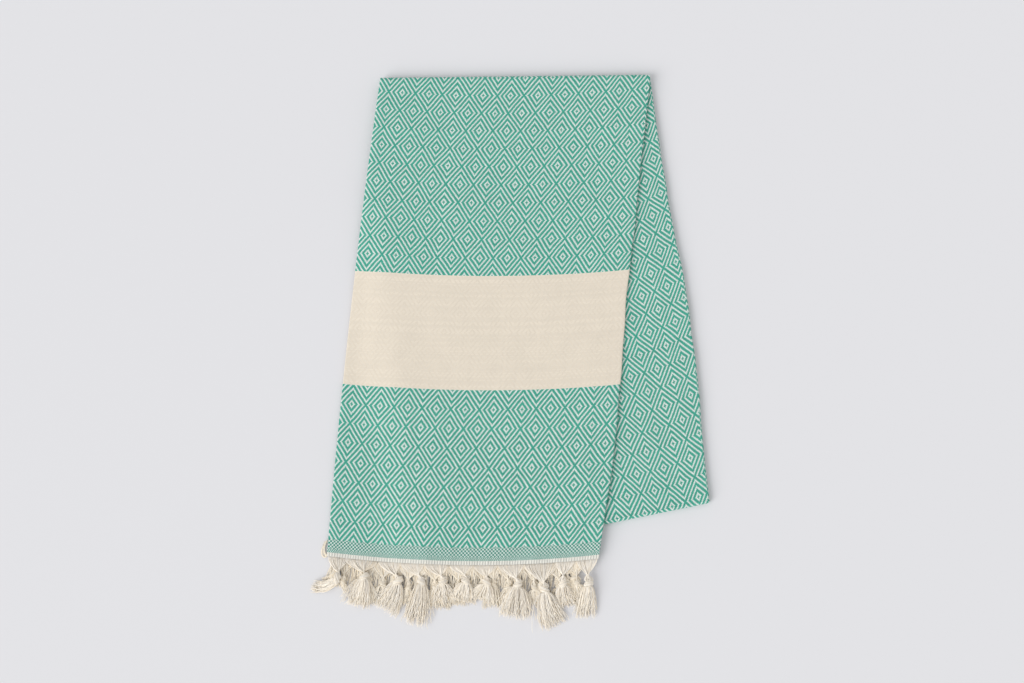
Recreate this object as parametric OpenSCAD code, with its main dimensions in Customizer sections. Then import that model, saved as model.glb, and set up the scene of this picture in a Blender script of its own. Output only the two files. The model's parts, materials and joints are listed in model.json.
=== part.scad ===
// Flat-woven cotton towel, folded in thirds along its length and then into three
// leaves, lying on a table. Knotted tassels of its own warp threads end the cloth.
// Millimetres. +Z is up, +Y points to the top fold, and the origin lies on the
// table under the middle of the folded towel.

/* [Cloth] */
// Thickness of one ply of cloth
cloth_t = 1.0; // [0.6:0.1:1.1]
// Height from one ply of a leaf to the next
ply_pitch = 1.2; // [1.2:0.05:1.5]
// Gap between one leaf and the leaf below
leaf_gap = 0.3; // [0.3:0.1:0.6]
// Width of the folded strip at the top fold, a third of the towel's width
strip_w = 333; // [320:1:340]

/* [Front leaf] */
// Length from the top fold to the hem
front_len = 585; // [560:1:600]
// Turn of the leaf to the left, degrees
front_turn = 6; // [4:0.5:7]
// Width at the hem, where the cloth is drawn in
hem_w = 315; // [305:1:330]
// Slope of the hem, degrees
hem_slope = -1; // [-2:0.5:2]
// Sag of the hem's middle below its two ends
hem_bow = 10; // [0:1:14]
// Distance past the edge of the leaf below at which this leaf starts to sink
drape_start = 16; // [10:1:25]
// Distance over which it then sinks to the table
drape_run = 60; // [40:5:90]

/* [Middle leaf] */
// Length from the top fold to the lower fold
middle_len = 553; // [540:1:560]
// Turn of the leaf to the right, degrees
middle_turn = 7.2; // [6:0.1:8]
// Width at the lower fold
lower_fold_w = 320; // [310:1:330]
// Slope of the lower fold, degrees
lower_fold_slope = 11.5; // [9:0.5:12]

/* [Third leaf] */
// Length from the lower fold to the far hem
third_len = 480; // [440:5:482]
// Share of the strip's width by which this leaf is narrower, each side
third_inset = 0.012; // [0.01:0.001:0.03]

/* [Woven zones] */
// Cream warp heading at the very end of the cloth
heading_len = 4.5; // [3:0.5:6]
// Plain-weave border
border_len = 15; // [10:1:25]
// Diamond field between the border and the natural band
lower_field_len = 182.5; // [160:0.5:190]
// Natural band
band_len = 138; // [120:1:150]

/* [Fringe] */
// Width of a tassel where its threads leave the hem
tassel_root_w = 16; // [12:1:16]
// Diameter of a tassel's knot across the tassel
knot_w = 10; // [8:0.5:11]
// Width of a tassel at its loose end
tassel_tip_w = 14; // [10:1:15]
// Width of a tassel of the flat rows below
low_tassel_w = 8; // [6:0.5:9]

/* [Hidden] */

green = [0.30, 0.62, 0.53];
pale_green = [0.58, 0.78, 0.71];
natural = [0.88, 0.84, 0.76];
cream = [0.86, 0.82, 0.74];

// The stack, from the table up
leaf_t = 3 * ply_pitch;
middle_z = leaf_t + leaf_gap;
front_z = 2 * middle_z;
hinge_z = front_z - leaf_gap / 2;
fold_r = leaf_t + leaf_gap / 2;
table_gap = 0.3;
hinge_gap = 0.3;

// Rolled side edges of a leaf, and where its flat plies stop beside them
roll_r = 1.7;
roll_space = 2 * roll_r + 0.3;

// The top fold line, which both upper leaves share
top_mid = [5, 329];
top_slope = 0.7;

// Top row of tassels: place along the hem as a share of its width, then the
// sideways shift and the reach of the knot, and the same of the loose end
tassel_lay = [
    [0.040, 0, 24, -26, 34],
    [0.130, 3, 20, -4, 52],
    [0.235, 9, 22, -5, 55],
    [0.318, 6, 21, 0, 61],
    [0.407, 7, 20, 8, 48],
    [0.496, 4, 20, 2, 45],
    [0.588, 0, 20, -4, 43],
    [0.680, 5, 21, 5, 57],
    [0.789, 0, 28, 4, 68],
    [0.877, -1, 27, 1, 51],
    [0.958, 0, 29, -2, 62]
];
hinge_reach = 1;
square_len = 1.5;
knot_z = 7;
knot_h = 8;
tip_z = 5.2;
tip_h = 4;

// Flat rows of tassels
row_count = 11;
low_z = 1.35;
low_h = 2.2;
far_count = 33;

sides = 8;

// ---- plane geometry -------------------------------------------------------

function mix(a, b, t) = a + (b - a) * t;
function ease(t) = let (c = min(max(t, 0), 1)) c * c * (3 - 2 * c);
function downward(turn) = [sin(turn), -cos(turn)];
function across(slope) = [cos(slope), sin(slope)];
function line_ends(mid, slope, w) = [mid - across(slope) * w / 2, mid + across(slope) * w / 2];

top = line_ends(top_mid, top_slope, strip_w);
hem = line_ends(top_mid + downward(-front_turn) * front_len, hem_slope, hem_w);
lower = line_ends(top_mid + downward(middle_turn) * middle_len, lower_fold_slope, lower_fold_w);

// A point of a leaf: u runs left to right, v from the top fold down
function front_xy(u, v) =
    mix(mix(top[0], top[1], u), mix(hem[0], hem[1], u), v) - [0, v * hem_bow * 4 * u * (1 - u)];
function middle_xy(u, v) = mix(mix(top[0], top[1], u), mix(lower[0], lower[1], u), v);

// Distance of a point outside the middle leaf's left edge or lower fold
function past(p, a, b) = -cross((b - a) / norm(b - a), p - a);
function outside(p) = max(past(p, top[0], lower[0]), past(p, lower[0], lower[1]));

// Height of the front leaf's underside: it lies on the middle leaf and sinks to
// the table beyond it
function lift(p) = mix(front_z, table_gap, ease((outside(p) - drape_start) / drape_run));

// ---- building blocks ------------------------------------------------------

// Closed slab between two grids of points, (nu + 1) x (nv + 1) each
module grid_slab(low, high, nu, nv) {
    n = (nu + 1) * (nv + 1);
    row = nu + 1;
    caps = [for (j = [0:nv - 1], i = [0:nu - 1])
        let (a = j * row + i, b = a + 1, d = a + row, c = d + 1)
        each [[a, b, c], [a, c, d], [n + a, n + c, n + b], [n + a, n + d, n + c]]];
    ends = [for (i = [0:nu - 1]) let (a = i, b = a + 1, d = nv * row + i, c = d + 1)
        each [[b, a, n + a], [b, n + a, n + b], [d, c, n + c], [d, n + c, n + d]]];
    edges = [for (j = [0:nv - 1])
        let (a = j * row, d = a + row, b = a + nu, c = d + nu)
        each [[c, b, n + b], [c, n + b, n + c], [a, d, n + d], [a, n + d, n + a]]];
    polyhedron(points = concat(high, low), faces = concat(caps, ends, edges), convexity = 6);
}

// Part of one ply of the front leaf, through a list of distances down the leaf.
// Every ply takes the same rows, so that the plies stay parallel where they drape.
module front_ply(level, rows) {
    nu = 16;
    side = roll_space / strip_w;
    z = level * ply_pitch + (ply_pitch - cloth_t) / 2;
    plan = [for (row = rows, i = [0:nu])
        front_xy(mix(side, 1 - side, i / nu), row / front_len)];
    grid_slab([for (p = plan) [p.x, p.y, lift(p) + z]],
              [for (p = plan) [p.x, p.y, lift(p) + z + cloth_t]], nu, len(rows) - 1);
}

// Tube of elliptic rings along a path, each ring upright and square to the path
module swept(path, half_w, half_h, n) {
    last = len(path) - 1;
    points = [for (i = [0:last])
        let (
            step = path[min(i + 1, last)] - path[max(i - 1, 0)],
            run = norm([step.x, step.y]),
            side = [-step.y / run, step.x / run, 0]
        )
        each [for (k = [0:n - 1]) let (a = 360 * k / n)
            path[i] + side * half_w[i] * cos(a) + [0, 0, half_h[i] * sin(a)]]];
    walls = [for (i = [0:last - 1], k = [0:n - 1])
        let (a = i * n + k, b = i * n + (k + 1) % n)
        each [[a, a + n, b + n], [a, b + n, b]]];
    polyhedron(points = points, convexity = 4, faces = concat(walls,
        [[for (k = [0:n - 1]) k]], [[for (k = [n - 1:-1:0]) last * n + k]]));
}

// Rolled side edge of the front leaf; u is 0 on the left and 1 on the right
module front_roll(u) {
    steps = 18;
    inset = (roll_r + 0.1) / strip_w * (1 - 2 * u);
    v0 = hinge_gap / front_len;
    path = [for (j = [0:steps])
        let (p = front_xy(u + inset, mix(v0, 1, j / steps)))
        [p.x, p.y, lift(p) + leaf_t / 2]];
    swept(path, [for (p = path) roll_r], [for (p = path) roll_r], sides);
}

// Part of one ply of the flat leaves; v runs from the top fold down
module flat_ply(level, z0, u0, v0, v1) {
    side = u0 + roll_space / strip_w;
    translate([0, 0, z0 + level * ply_pitch + (ply_pitch - cloth_t) / 2])
        linear_extrude(cloth_t)
            polygon([middle_xy(side, v0), middle_xy(side, v1),
                     middle_xy(1 - side, v1), middle_xy(1 - side, v0)]);
}

// Round bar from one plan point to another at a height
module bar(a, b, z, r) {
    run = b - a;
    translate([a.x, a.y, z])
        rotate([0, 90, atan2(run.y, run.x)])
            cylinder(h = norm(run), r = r, $fn = 32);
}

// Rolled side edge of a flat leaf; u is its place across the strip
module flat_roll(u, z0, v0, v1) {
    bar(middle_xy(u, v0), middle_xy(u, v1), z0 + leaf_t / 2, roll_r);
}

// Half-round fold: the cloth turning round a line, bulging to the given side
module half_fold(a, b, z, bulge) {
    run = b - a;
    translate([a.x, a.y, z])
        rotate([0, 0, atan2(run.y, run.x)])
            intersection() {
                rotate([0, 90, 0]) cylinder(h = norm(run), r = fold_r, $fn = 48);
                translate([0, bulge > 0 ? hinge_gap : -fold_r - 1, -fold_r - 1])
                    cube([norm(run), fold_r + 1 - hinge_gap, 2 * fold_r + 2]);
            }
}

// One tassel: threads that leave the hem square, draw together, pass through a
// knot and end in a loose skirt
module tassel(root, knot, tip, root_w, root_h, waist_w, waist_h, end_w, end_h) {
    square = root + [0, sign(knot.y - root.y) * square_len, 0];
    path = [root, square, mix(square, knot, 0.45), mix(square, knot, 0.8), knot,
            mix(knot, tip, 0.2), mix(knot, tip, 0.55), tip];
    swept(path,
          [root_w, root_w, root_w * 0.75, waist_w * 0.8,
           waist_w, waist_w * 0.8, end_w * 0.85, end_w] / 2,
          [root_h, root_h, waist_h * 0.4, waist_h * 0.75,
           waist_h, waist_h * 0.7, end_h * 1.1, end_h] / 2,
          sides);
}

// Tassel i of the top row, free to swing about the hem; where the hem slopes it
// starts level with the higher side
module top_tassel(i) {
    lay = tassel_lay[i];
    base = front_xy(lay[0], 1);
    half = tassel_root_w / 2 / hem_w;
    z = max(lift(front_xy(lay[0] - half, 1)), lift(front_xy(lay[0] + half, 1))) + leaf_t + 0.2;
    color(cream)
        tassel([base.x, base.y - hinge_reach - hinge_gap, z],
               [base.x + lay[1], base.y - lay[2], knot_z],
               [base.x + lay[3], base.y - lay[4], tip_z],
               tassel_root_w, 0.6, knot_w, knot_h, tassel_tip_w, tip_h);
}

// Flat row of tassels under the top row, hanging from a lower ply of the front leaf
module low_row(level, shift) {
    color(cream) for (i = [0:row_count - 1]) {
        base = front_xy((i + shift) / row_count, 1);
        lean = 3 * sin(140 * i + 90 * level);
        reach = 52 + 6 * sin(97 * i + 50 * level);
        tassel([base.x, base.y - hinge_gap, lift(base) + (level + 0.5) * ply_pitch],
               [base.x, base.y - reach * 0.4, low_z],
               [base.x + lean, base.y - reach, low_z],
               low_tassel_w, 0.8, low_tassel_w * 0.6, low_h, low_tassel_w, low_h * 0.8);
    }
}

// ---- sub-parts ------------------------------------------------------------

border_end = front_len - heading_len;
lower_field_end = border_end - border_len;
band_end = lower_field_end - lower_field_len;
band_start = band_end - band_len;

function steps(a, b, n) = [for (j = [0:n]) mix(a, b, j / n)];
function tail(list) = [for (i = [1:len(list) - 1]) list[i]];
upper_field_rows = steps(hinge_gap, band_start, 12);
band_rows = steps(band_start, band_end, 7);
lower_field_rows = steps(band_end, lower_field_end, 9);
border_rows = steps(lower_field_end, border_end, 2);
heading_rows = [border_end, front_len];
all_rows = concat(upper_field_rows, tail(band_rows), tail(lower_field_rows),
                  tail(border_rows), tail(heading_rows));

module front_heading() {
    color(cream) front_ply(2, heading_rows);
}

module front_plain_border() {
    color(pale_green) front_ply(2, border_rows);
}

module front_lower_field() {
    color(green) front_ply(2, lower_field_rows);
}

module front_natural_band() {
    color(natural) front_ply(2, band_rows);
}

module front_upper_field() {
    color(green) front_ply(2, upper_field_rows);
}

module front_inner_ply() {
    color(pale_green) front_ply(1, all_rows);
}

module front_under_ply() {
    color(pale_green) front_ply(0, all_rows);
}

module front_left_fold() {
    color(green) front_roll(0);
}

module front_right_fold() {
    color(green) front_roll(1);
}

module inner_ply_fringe() {
    low_row(1, 0.35);
}

module under_ply_fringe() {
    low_row(0, 0.75);
}

module top_fold() {
    color(green) half_fold(top[0], top[1], hinge_z, 1);
}

// The flat plies stop a hinge gap short of the two fold lines
top_v = hinge_gap / middle_len;
low_v = 1 - hinge_gap / middle_len;
far_v = 1 - third_len / middle_len;

module middle_upper_ply() {
    color(green) flat_ply(2, middle_z, 0, top_v, low_v);
}

module middle_inner_ply() {
    color(pale_green) flat_ply(1, middle_z, 0, top_v, low_v);
}

module middle_lower_ply() {
    color(green) flat_ply(0, middle_z, 0, top_v, low_v);
}

module middle_left_fold() {
    color(green) flat_roll(roll_space / 2 / strip_w, middle_z, 2 * top_v, low_v - top_v);
}

module middle_right_fold() {
    color(green) flat_roll(1 - roll_space / 2 / strip_w, middle_z, 2 * top_v, low_v - top_v);
}

module lower_fold() {
    color(green) half_fold(lower[0], lower[1], hinge_z - middle_z, -1);
}

module third_upper_ply() {
    color(green) flat_ply(2, 0, third_inset, far_v, low_v);
}

module third_inner_ply() {
    color(pale_green) flat_ply(1, 0, third_inset, far_v, low_v);
}

module third_bottom_ply() {
    color(green)
        linear_extrude((ply_pitch + cloth_t) / 2)
            polygon([middle_xy(third_inset + roll_space / strip_w, far_v),
                     middle_xy(third_inset + roll_space / strip_w, low_v),
                     middle_xy(1 - third_inset - roll_space / strip_w, low_v),
                     middle_xy(1 - third_inset - roll_space / strip_w, far_v)]);
}

module third_left_fold() {
    color(green) flat_roll(third_inset + roll_space / 2 / strip_w, 0, far_v, low_v - top_v);
}

module third_right_fold() {
    color(green) flat_roll(1 - third_inset - roll_space / 2 / strip_w, 0, far_v, low_v - top_v);
}

module far_fringe() {
    color(cream) for (i = [0:far_count - 1]) {
        base = middle_xy(mix(0.03, 0.97, (i + 0.5) / far_count), far_v - 2 * top_v);
        reach = 62 + 4 * sin(110 * i);
        tassel([base.x, base.y, low_z + 0.4],
               [base.x, base.y + reach * 0.4, low_z],
               [base.x, base.y + reach, low_z],
               low_tassel_w, 0.8, low_tassel_w * 0.6, low_h, low_tassel_w, low_h * 0.8);
    }
}

module tassel_01() { top_tassel(0); }
module tassel_02() { top_tassel(1); }
module tassel_03() { top_tassel(2); }
module tassel_04() { top_tassel(3); }
module tassel_05() { top_tassel(4); }
module tassel_06() { top_tassel(5); }
module tassel_07() { top_tassel(6); }
module tassel_08() { top_tassel(7); }
module tassel_09() { top_tassel(8); }
module tassel_10() { top_tassel(9); }
module tassel_11() { top_tassel(10); }

front_heading();
front_plain_border();
front_lower_field();
front_natural_band();
front_upper_field();
front_inner_ply();
front_under_ply();
front_left_fold();
front_right_fold();
inner_ply_fringe();
under_ply_fringe();
top_fold();
middle_upper_ply();
middle_inner_ply();
middle_lower_ply();
middle_left_fold();
middle_right_fold();
lower_fold();
third_upper_ply();
third_inner_ply();
third_bottom_ply();
third_left_fold();
third_right_fold();
far_fringe();
tassel_01();
tassel_02();
tassel_03();
tassel_04();
tassel_05();
tassel_06();
tassel_07();
tassel_08();
tassel_09();
tassel_10();
tassel_11();
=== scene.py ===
import json
import math

import bpy
import numpy as np
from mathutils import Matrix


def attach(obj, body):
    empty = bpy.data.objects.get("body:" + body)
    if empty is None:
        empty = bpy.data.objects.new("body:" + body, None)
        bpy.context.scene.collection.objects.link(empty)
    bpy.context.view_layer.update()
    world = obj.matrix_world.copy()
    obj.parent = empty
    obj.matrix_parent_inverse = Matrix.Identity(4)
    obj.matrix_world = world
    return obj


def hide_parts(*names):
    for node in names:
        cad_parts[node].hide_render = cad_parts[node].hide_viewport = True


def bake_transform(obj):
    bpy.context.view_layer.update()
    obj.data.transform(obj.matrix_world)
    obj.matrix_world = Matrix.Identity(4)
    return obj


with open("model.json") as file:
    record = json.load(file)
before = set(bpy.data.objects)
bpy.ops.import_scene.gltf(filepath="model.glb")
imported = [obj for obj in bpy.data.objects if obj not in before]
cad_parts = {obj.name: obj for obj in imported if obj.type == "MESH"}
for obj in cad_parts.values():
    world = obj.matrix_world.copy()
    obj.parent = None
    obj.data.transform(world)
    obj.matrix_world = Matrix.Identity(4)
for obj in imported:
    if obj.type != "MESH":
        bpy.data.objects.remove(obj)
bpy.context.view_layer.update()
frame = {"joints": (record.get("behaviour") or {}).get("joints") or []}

# A flat-woven cotton towel, folded in thirds along its length and then into three
# leaves that fan out from the top fold. Metres; +Y runs to the top fold.

MM = 0.001
SEED = 41

# ---- the cloth and its stack ------------------------------------------------------
CLOTH = 0.8 * MM  # thickness of one ply
SHARP = math.radians(50)  # edges of the cloth bend more than this
LEAF = 3.6 * MM  # height of a leaf of three plies
FRONT_Z = 7.8 * MM  # underside of the front leaf
MIDDLE_Z = 3.9 * MM  # underside of the middle leaf
THIRD_Z = 0.0
TABLE_GAP = 0.3 * MM  # underside of the front leaf where it lies on the table
LOW_FOLD_Z = 3.75 * MM  # axis of the lower fold
OUTER_H = 3.0 * MM  # middle of each ply over the underside of its leaf
INNER_H = 1.8 * MM
UNDER_H = 0.6 * MM
TIGHT_R = 0.6 * MM  # side fold between the outer and the inner ply
WIDE_R = 1.2 * MM  # side fold between the outer and the under ply
TIGHT_IN = 1.0 * MM  # how far each side fold's centre lies inside the edge
WIDE_IN = 1.6 * MM
INNER_END = 6 * MM  # where the free long edges stop inside the leaf
UNDER_END = 8 * MM
HINGE_GAP = 0.15 * MM  # leaves stop this far from their fold lines in plan

# ---- the leaves in plan -----------------------------------------------------------
STRIP_W = 333 * MM
HEM_W = 315 * MM
LOWER_W = 320 * MM
FRONT_LEN = 585 * MM
MIDDLE_LEN = 553 * MM
THIRD_LEN = 480 * MM
FRONT_TURN = 6.0  # degrees the front leaf swings to the left of straight down
MIDDLE_TURN = 7.2  # degrees the leaves below swing to the right
HEM_SLOPE = -1.0  # degrees
LOWER_SLOPE = 11.5  # degrees
HEM_BOW = 10 * MM  # how far the hem's middle hangs below its ends
THIRD_INSET = 0.012  # share of the width that the third leaf lies in, each side
DRAPE_START = 16 * MM  # how far past the leaf below the front leaf starts to sink
DRAPE_RUN = 60 * MM  # and over what distance it reaches the table
RIPPLE = 0.45 * MM  # unevenness of the front leaf
PUCKER = 0.35 * MM  # smaller folds close to the hem
EDGE_WAVE = 0.6 * MM
HEM_DROOP = 2.4 * MM  # how far the hem's left corner hangs below the bow
LEFT_BULGE = 4.5 * MM  # how far the soft edges bow out between their corners
RIGHT_BULGE = 4.5 * MM
MIDDLE_BULGE = 7.5 * MM

# ---- lengths along the cloth, from the near hem -------------------------------------
HEADING = 4.5 * MM
BORDER = 15 * MM
FIELD = 182.5 * MM
BAND = 138 * MM
TOP_ARC = math.pi * 3.15 * MM
CLOTH_LEN = FRONT_LEN + TOP_ARC + MIDDLE_LEN + THIRD_LEN

# ---- the weave ----------------------------------------------------------------------
REPEAT_W = 33.3 * MM
REPEAT_H = 45.7 * MM
THREADS = 30
WARP_PITCH = REPEAT_W / THREADS
WEFT_PITCH = REPEAT_H / THREADS
COLUMN_PHASE = 13 * MM  # first column of diamonds, from the left edge at the top fold
ROW_PHASE = 42 * MM  # first row of diamonds, from the near hem
ROW_SAG = 8.2 * MM  # how far the woven rows sag at the top fold
ROW_RISE = 2.9 * MM  # how far their ends are pulled up there
HEM_SHIFT = 2.0 * MM  # how far all columns are shifted at the hem
HEM_GATHER = 4.5 * MM  # how far the right columns are shifted near the hem
HEM_SQUEEZE = 7 * MM  # how far the left columns are drawn in at the hem
RINGS = 3  # rings of weft floats in half a repeat
WEFT_BIAS = -0.12  # below 0 the green rings are wider than the pale ones
BASKET = 2.05 * MM  # one check of the border's weave
EDGE_ROWS = 4.5 * MM  # the border's last rows, woven thread by thread
# painted shade in the gaps between the bare warp threads
BARE_GAP_SHADE = 0.5  # how dark the gaps between the bare warp threads are

# ---- colours, linear ----------------------------------------------------------------
GREEN = (0.062, 0.40, 0.295)
PALE = (0.72, 0.815, 0.765)
NATURAL = (0.80, 0.715, 0.59)
NATURAL_WEFT = (0.82, 0.74, 0.62)
HEADING_WARP = (0.84, 0.83, 0.755)
BORDER_WARP = (0.715, 0.81, 0.765)
BORDER_WEFT = (0.012, 0.28, 0.195)
COTTON = (0.975, 0.925, 0.845)
# painted shade: a darker, warmer copy of the cotton for threads that lie under other cloth
SHADED_LOW_COTTON = (0.94, 0.88, 0.775)
WARMER = (1.02, 0.97, 0.88)  # scales the cotton's colour to its warmest thread
FLOOR = (0.80, 0.80, 0.82)

# ---- grid steps of the cloth meshes -------------------------------------------------
FINE = 3 * MM
MEDIUM = 4 * MM
HIDDEN = 6 * MM
COARSE = 9 * MM


def mix(a, b, t):
    return a + (b - a) * t


def ease(t):
    t = np.clip(t, 0.0, 1.0)
    return t * t * (3 - 2 * t)


def bell(t, centre, half):
    """Smooth bump of height 1 at centre, 0 from half away."""
    d = np.clip((t - centre) / half, -1.0, 1.0)
    return np.cos(d * math.pi / 2) ** 2


def heading_of(degrees):
    a = math.radians(degrees)
    return np.array([math.cos(a), math.sin(a)])


def downward(degrees):
    a = math.radians(degrees)
    return np.array([math.sin(a), -math.cos(a)])


def line_ends(middle, along, width):
    return middle - along * width / 2, middle + along * width / 2


def between(a, b, u):
    """Points at shares u of the way from plan point a to plan point b."""
    return a[0] + (b[0] - a[0]) * u, a[1] + (b[1] - a[1]) * u


# ---- fold lines, from the frame's hinge ---------------------------------------------
joints = {j["name"]: j for j in frame["joints"]}
top_joint = joints["top_fold_hinge"]
top_mid = np.array(top_joint["pos_m"][:2])
top_along = -np.array(top_joint["axis"][:2])
top_along = top_along / np.linalg.norm(top_along)
TOP_FOLD_Z = top_joint["pos_m"][2]
top_a, top_b = line_ends(top_mid, top_along, STRIP_W)
hem_mid = top_mid + downward(-FRONT_TURN) * FRONT_LEN
hem_a, hem_b = line_ends(hem_mid, heading_of(HEM_SLOPE), HEM_W)
low_mid = top_mid + downward(MIDDLE_TURN) * MIDDLE_LEN
low_a, low_b = line_ends(low_mid, heading_of(LOWER_SLOPE), LOWER_W)


def waves(v, phase):
    """Small waves of a folded edge, none at the ends."""
    rise = np.sin(math.pi * np.clip(v, 0, 1))
    return EDGE_WAVE * rise * (np.sin(24 * v + phase) + 0.6 * np.sin(61 * v + 2 * phase))


def front_xy(u, v):
    """Plan point of the front leaf: u from left to right, v from the top fold down."""
    tx, ty = between(top_a, top_b, u)
    hx, hy = between(hem_a, hem_b, u)
    x = mix(tx, hx, v)
    y = mix(ty, hy, v) - v * HEM_BOW * 4 * u * (1 - u)
    y = y - HEM_DROOP * np.clip(v, 0, 1) ** 4 * (1 - u) ** 3
    x = x - LEFT_BULGE * np.sin(math.pi * np.clip(v, 0, 1)) * (1 - u) ** 2
    x = x + (RIGHT_BULGE * bell(v, 0.75, 0.28) + waves(v, 0.4)) * u**2
    return x, y


def middle_xy(u, v):
    """Plan point of the leaves below: v runs from the top fold to the lower fold."""
    tx, ty = between(top_a, top_b, u)
    lx, ly = between(low_a, low_b, u)
    x = mix(tx, lx, v)
    x = x + (MIDDLE_BULGE * bell(v, 0.6, 0.42) + waves(v, 2.3)) * np.clip(u, 0, 1) ** 3
    return x, mix(ty, ly, v)


def past(x, y, a, b):
    """How far a point lies to the right of the line from a to b."""
    along = (b - a) / np.linalg.norm(b - a)
    return -(along[0] * (y - a[1]) - along[1] * (x - a[0]))


def lift(x, y):
    """Height of the front leaf's underside, which sinks to the table past the leaf below."""
    outside = np.maximum(past(x, y, top_a, low_a), past(x, y, low_a, low_b))
    return mix(FRONT_Z, TABLE_GAP, ease((outside - DRAPE_START) / DRAPE_RUN))


def ripple(x, y, v):
    """Slight unevenness of the front leaf, never below its resting height.

    Three crossing waves make the broad ripple and two shorter ones the hem's puckers.
    """
    w = 0.5 + 0.5 * np.sin(21 * x + 13 * y + 0.6)
    w = w + 0.5 + 0.5 * np.sin(-17 * x + 29 * y + 2.1)
    w = w + 0.35 + 0.35 * np.sin(47 * x + 38 * y + 4.0)
    pucker = 1 + 0.5 * np.sin(250 * x + 20 * y) + 0.5 * np.sin(-170 * x + 35 * y + 1.3)
    return RIPPLE * w * ease(v / 0.12) + PUCKER * pucker * ease((v - 0.84) / 0.16)


# ---- the cross-section of a leaf ----------------------------------------------------
def arc(centre_x, centre_h, radius, start, end, count):
    a = np.radians(np.linspace(start, end, count + 1))
    return centre_x + radius * np.cos(a), centre_h + radius * np.sin(a)


def section(ply, step):
    """(x, height, place across the cloth) of one ply, over a strip of the full width."""
    right = STRIP_W - WIDE_IN
    if ply == "outer":
        n = int(round((right - TIGHT_IN) / step))
        lx, lh = arc(TIGHT_IN, INNER_H + TIGHT_R, TIGHT_R, 270, 90, 6)
        ls = TIGHT_IN - TIGHT_R * math.pi * np.linspace(1, 0, 7)
        fx = np.linspace(TIGHT_IN, right, n + 1)[1:-1]
        rx, rh = arc(right, UNDER_H + WIDE_R, WIDE_R, 90, -90, 8)
        rs = right + WIDE_R * math.pi * np.linspace(0, 1, 9)
        x = np.concatenate([lx, fx, rx])
        h = np.concatenate([lh, np.full(len(fx), OUTER_H), rh])
        return x, h, np.concatenate([ls, fx, rs])
    if ply == "inner":
        n = int(round((STRIP_W - INNER_END - TIGHT_IN) / step))
        x = np.linspace(TIGHT_IN, STRIP_W - INNER_END, n + 1)
        return x, np.full(n + 1, INNER_H), 2 * TIGHT_IN - TIGHT_R * math.pi - x
    n = int(round((right - UNDER_END) / step))
    x = np.linspace(UNDER_END, right, n + 1)
    return x, np.full(n + 1, UNDER_H), 2 * right + WIDE_R * math.pi - x


# ---- meshes -------------------------------------------------------------------------
def new_object(name, verts, faces, uv):
    """Smooth-shaded object from points, faces (lists of indices) and a UV for each point."""
    mesh = bpy.data.meshes.new(name)
    mesh.from_pydata(verts.tolist(), [], faces)
    layer = mesh.uv_layers.new(name="UVMap")
    loops = np.empty(len(mesh.loops), dtype=np.int32)
    mesh.loops.foreach_get("vertex_index", loops)
    layer.data.foreach_set("uv", uv[loops].astype(np.float32).ravel())
    mesh.polygons.foreach_set("use_smooth", np.ones(len(mesh.polygons), dtype=bool))
    mesh.update()
    obj = bpy.data.objects.new(name, mesh)
    bpy.context.scene.collection.objects.link(obj)
    return obj


def slab(points, uv):
    """Closed cloth round a grid of middle points, shape (rows, columns, 3)."""
    rows, cols = points.shape[:2]
    down = np.gradient(points, axis=0)
    across = np.gradient(points, axis=1)
    normal = np.cross(down, across)
    normal = normal / np.linalg.norm(normal, axis=2, keepdims=True)
    high = (points + normal * CLOTH / 2).reshape(-1, 3)
    low = (points - normal * CLOTH / 2).reshape(-1, 3)
    count = rows * cols
    index = np.arange(count).reshape(rows, cols)
    a = index[:-1, :-1].ravel()
    b = index[:-1, 1:].ravel()
    c = index[1:, 1:].ravel()
    d = index[1:, :-1].ravel()
    faces = [np.stack([a, d, c, b], 1)]
    faces.append(np.stack([a, b, c, d], 1) + count)
    left = index[:, 0]
    right = index[:, -1]
    top = index[0]
    bottom = index[-1]
    faces.append(np.stack([left[:-1], left[:-1] + count, left[1:] + count, left[1:]], 1))
    faces.append(np.stack([right[1:], right[1:] + count, right[:-1] + count, right[:-1]], 1))
    faces.append(np.stack([top[:-1], top[1:], top[1:] + count, top[:-1] + count], 1))
    faces.append(np.stack([bottom[1:], bottom[:-1], bottom[:-1] + count, bottom[1:] + count], 1))
    flat_uv = uv.reshape(-1, 2)
    return np.concatenate([high, low]), np.concatenate(faces), np.concatenate([flat_uv, flat_uv])


def joined(parts):
    """One (points, faces, UVs) out of several."""
    verts, faces, uvs = [], [], []
    base = 0
    for v, f, t in parts:
        verts.append(v)
        faces.append(f + base)
        uvs.append(t)
        base += len(v)
    return np.concatenate(verts), np.concatenate(faces), np.concatenate(uvs)


# ---- front leaf ---------------------------------------------------------------------
def row_sag(u, v):
    """How far a woven row lies below a straight one; the rows sag toward the top fold."""
    return np.clip(1 - v, 0, 1) ** 1.5 * (ROW_SAG * 4 * u * (1 - u) - ROW_RISE)


def front_cloth_y(u, v):
    """Distance from the near hem of the woven row at a point of the front leaf."""
    return FRONT_LEN * (1 - v) + row_sag(u, v)


def front_cloth_x(s, v):
    """Place of a woven column, measured from a column of diamonds."""
    centre = STRIP_W / 2
    width = mix(STRIP_W, HEM_W, v)
    share = np.clip(s / STRIP_W, 0, 1)
    gather = HEM_GATHER * ease((v - 0.76) / 0.18) * share**2
    gather = gather + HEM_SQUEEZE * v * (1 - share)
    return centre + (s - centre) * width / STRIP_W - gather - HEM_SHIFT * v - COLUMN_PHASE


def row_at(u, y):
    """Share v of the front leaf at which the woven row y lies."""
    v = 1 - y / FRONT_LEN
    for _ in range(6):
        v = 1 - (y - row_sag(u, v)) / FRONT_LEN
    return np.clip(v, 0.0, 1.0)


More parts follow.
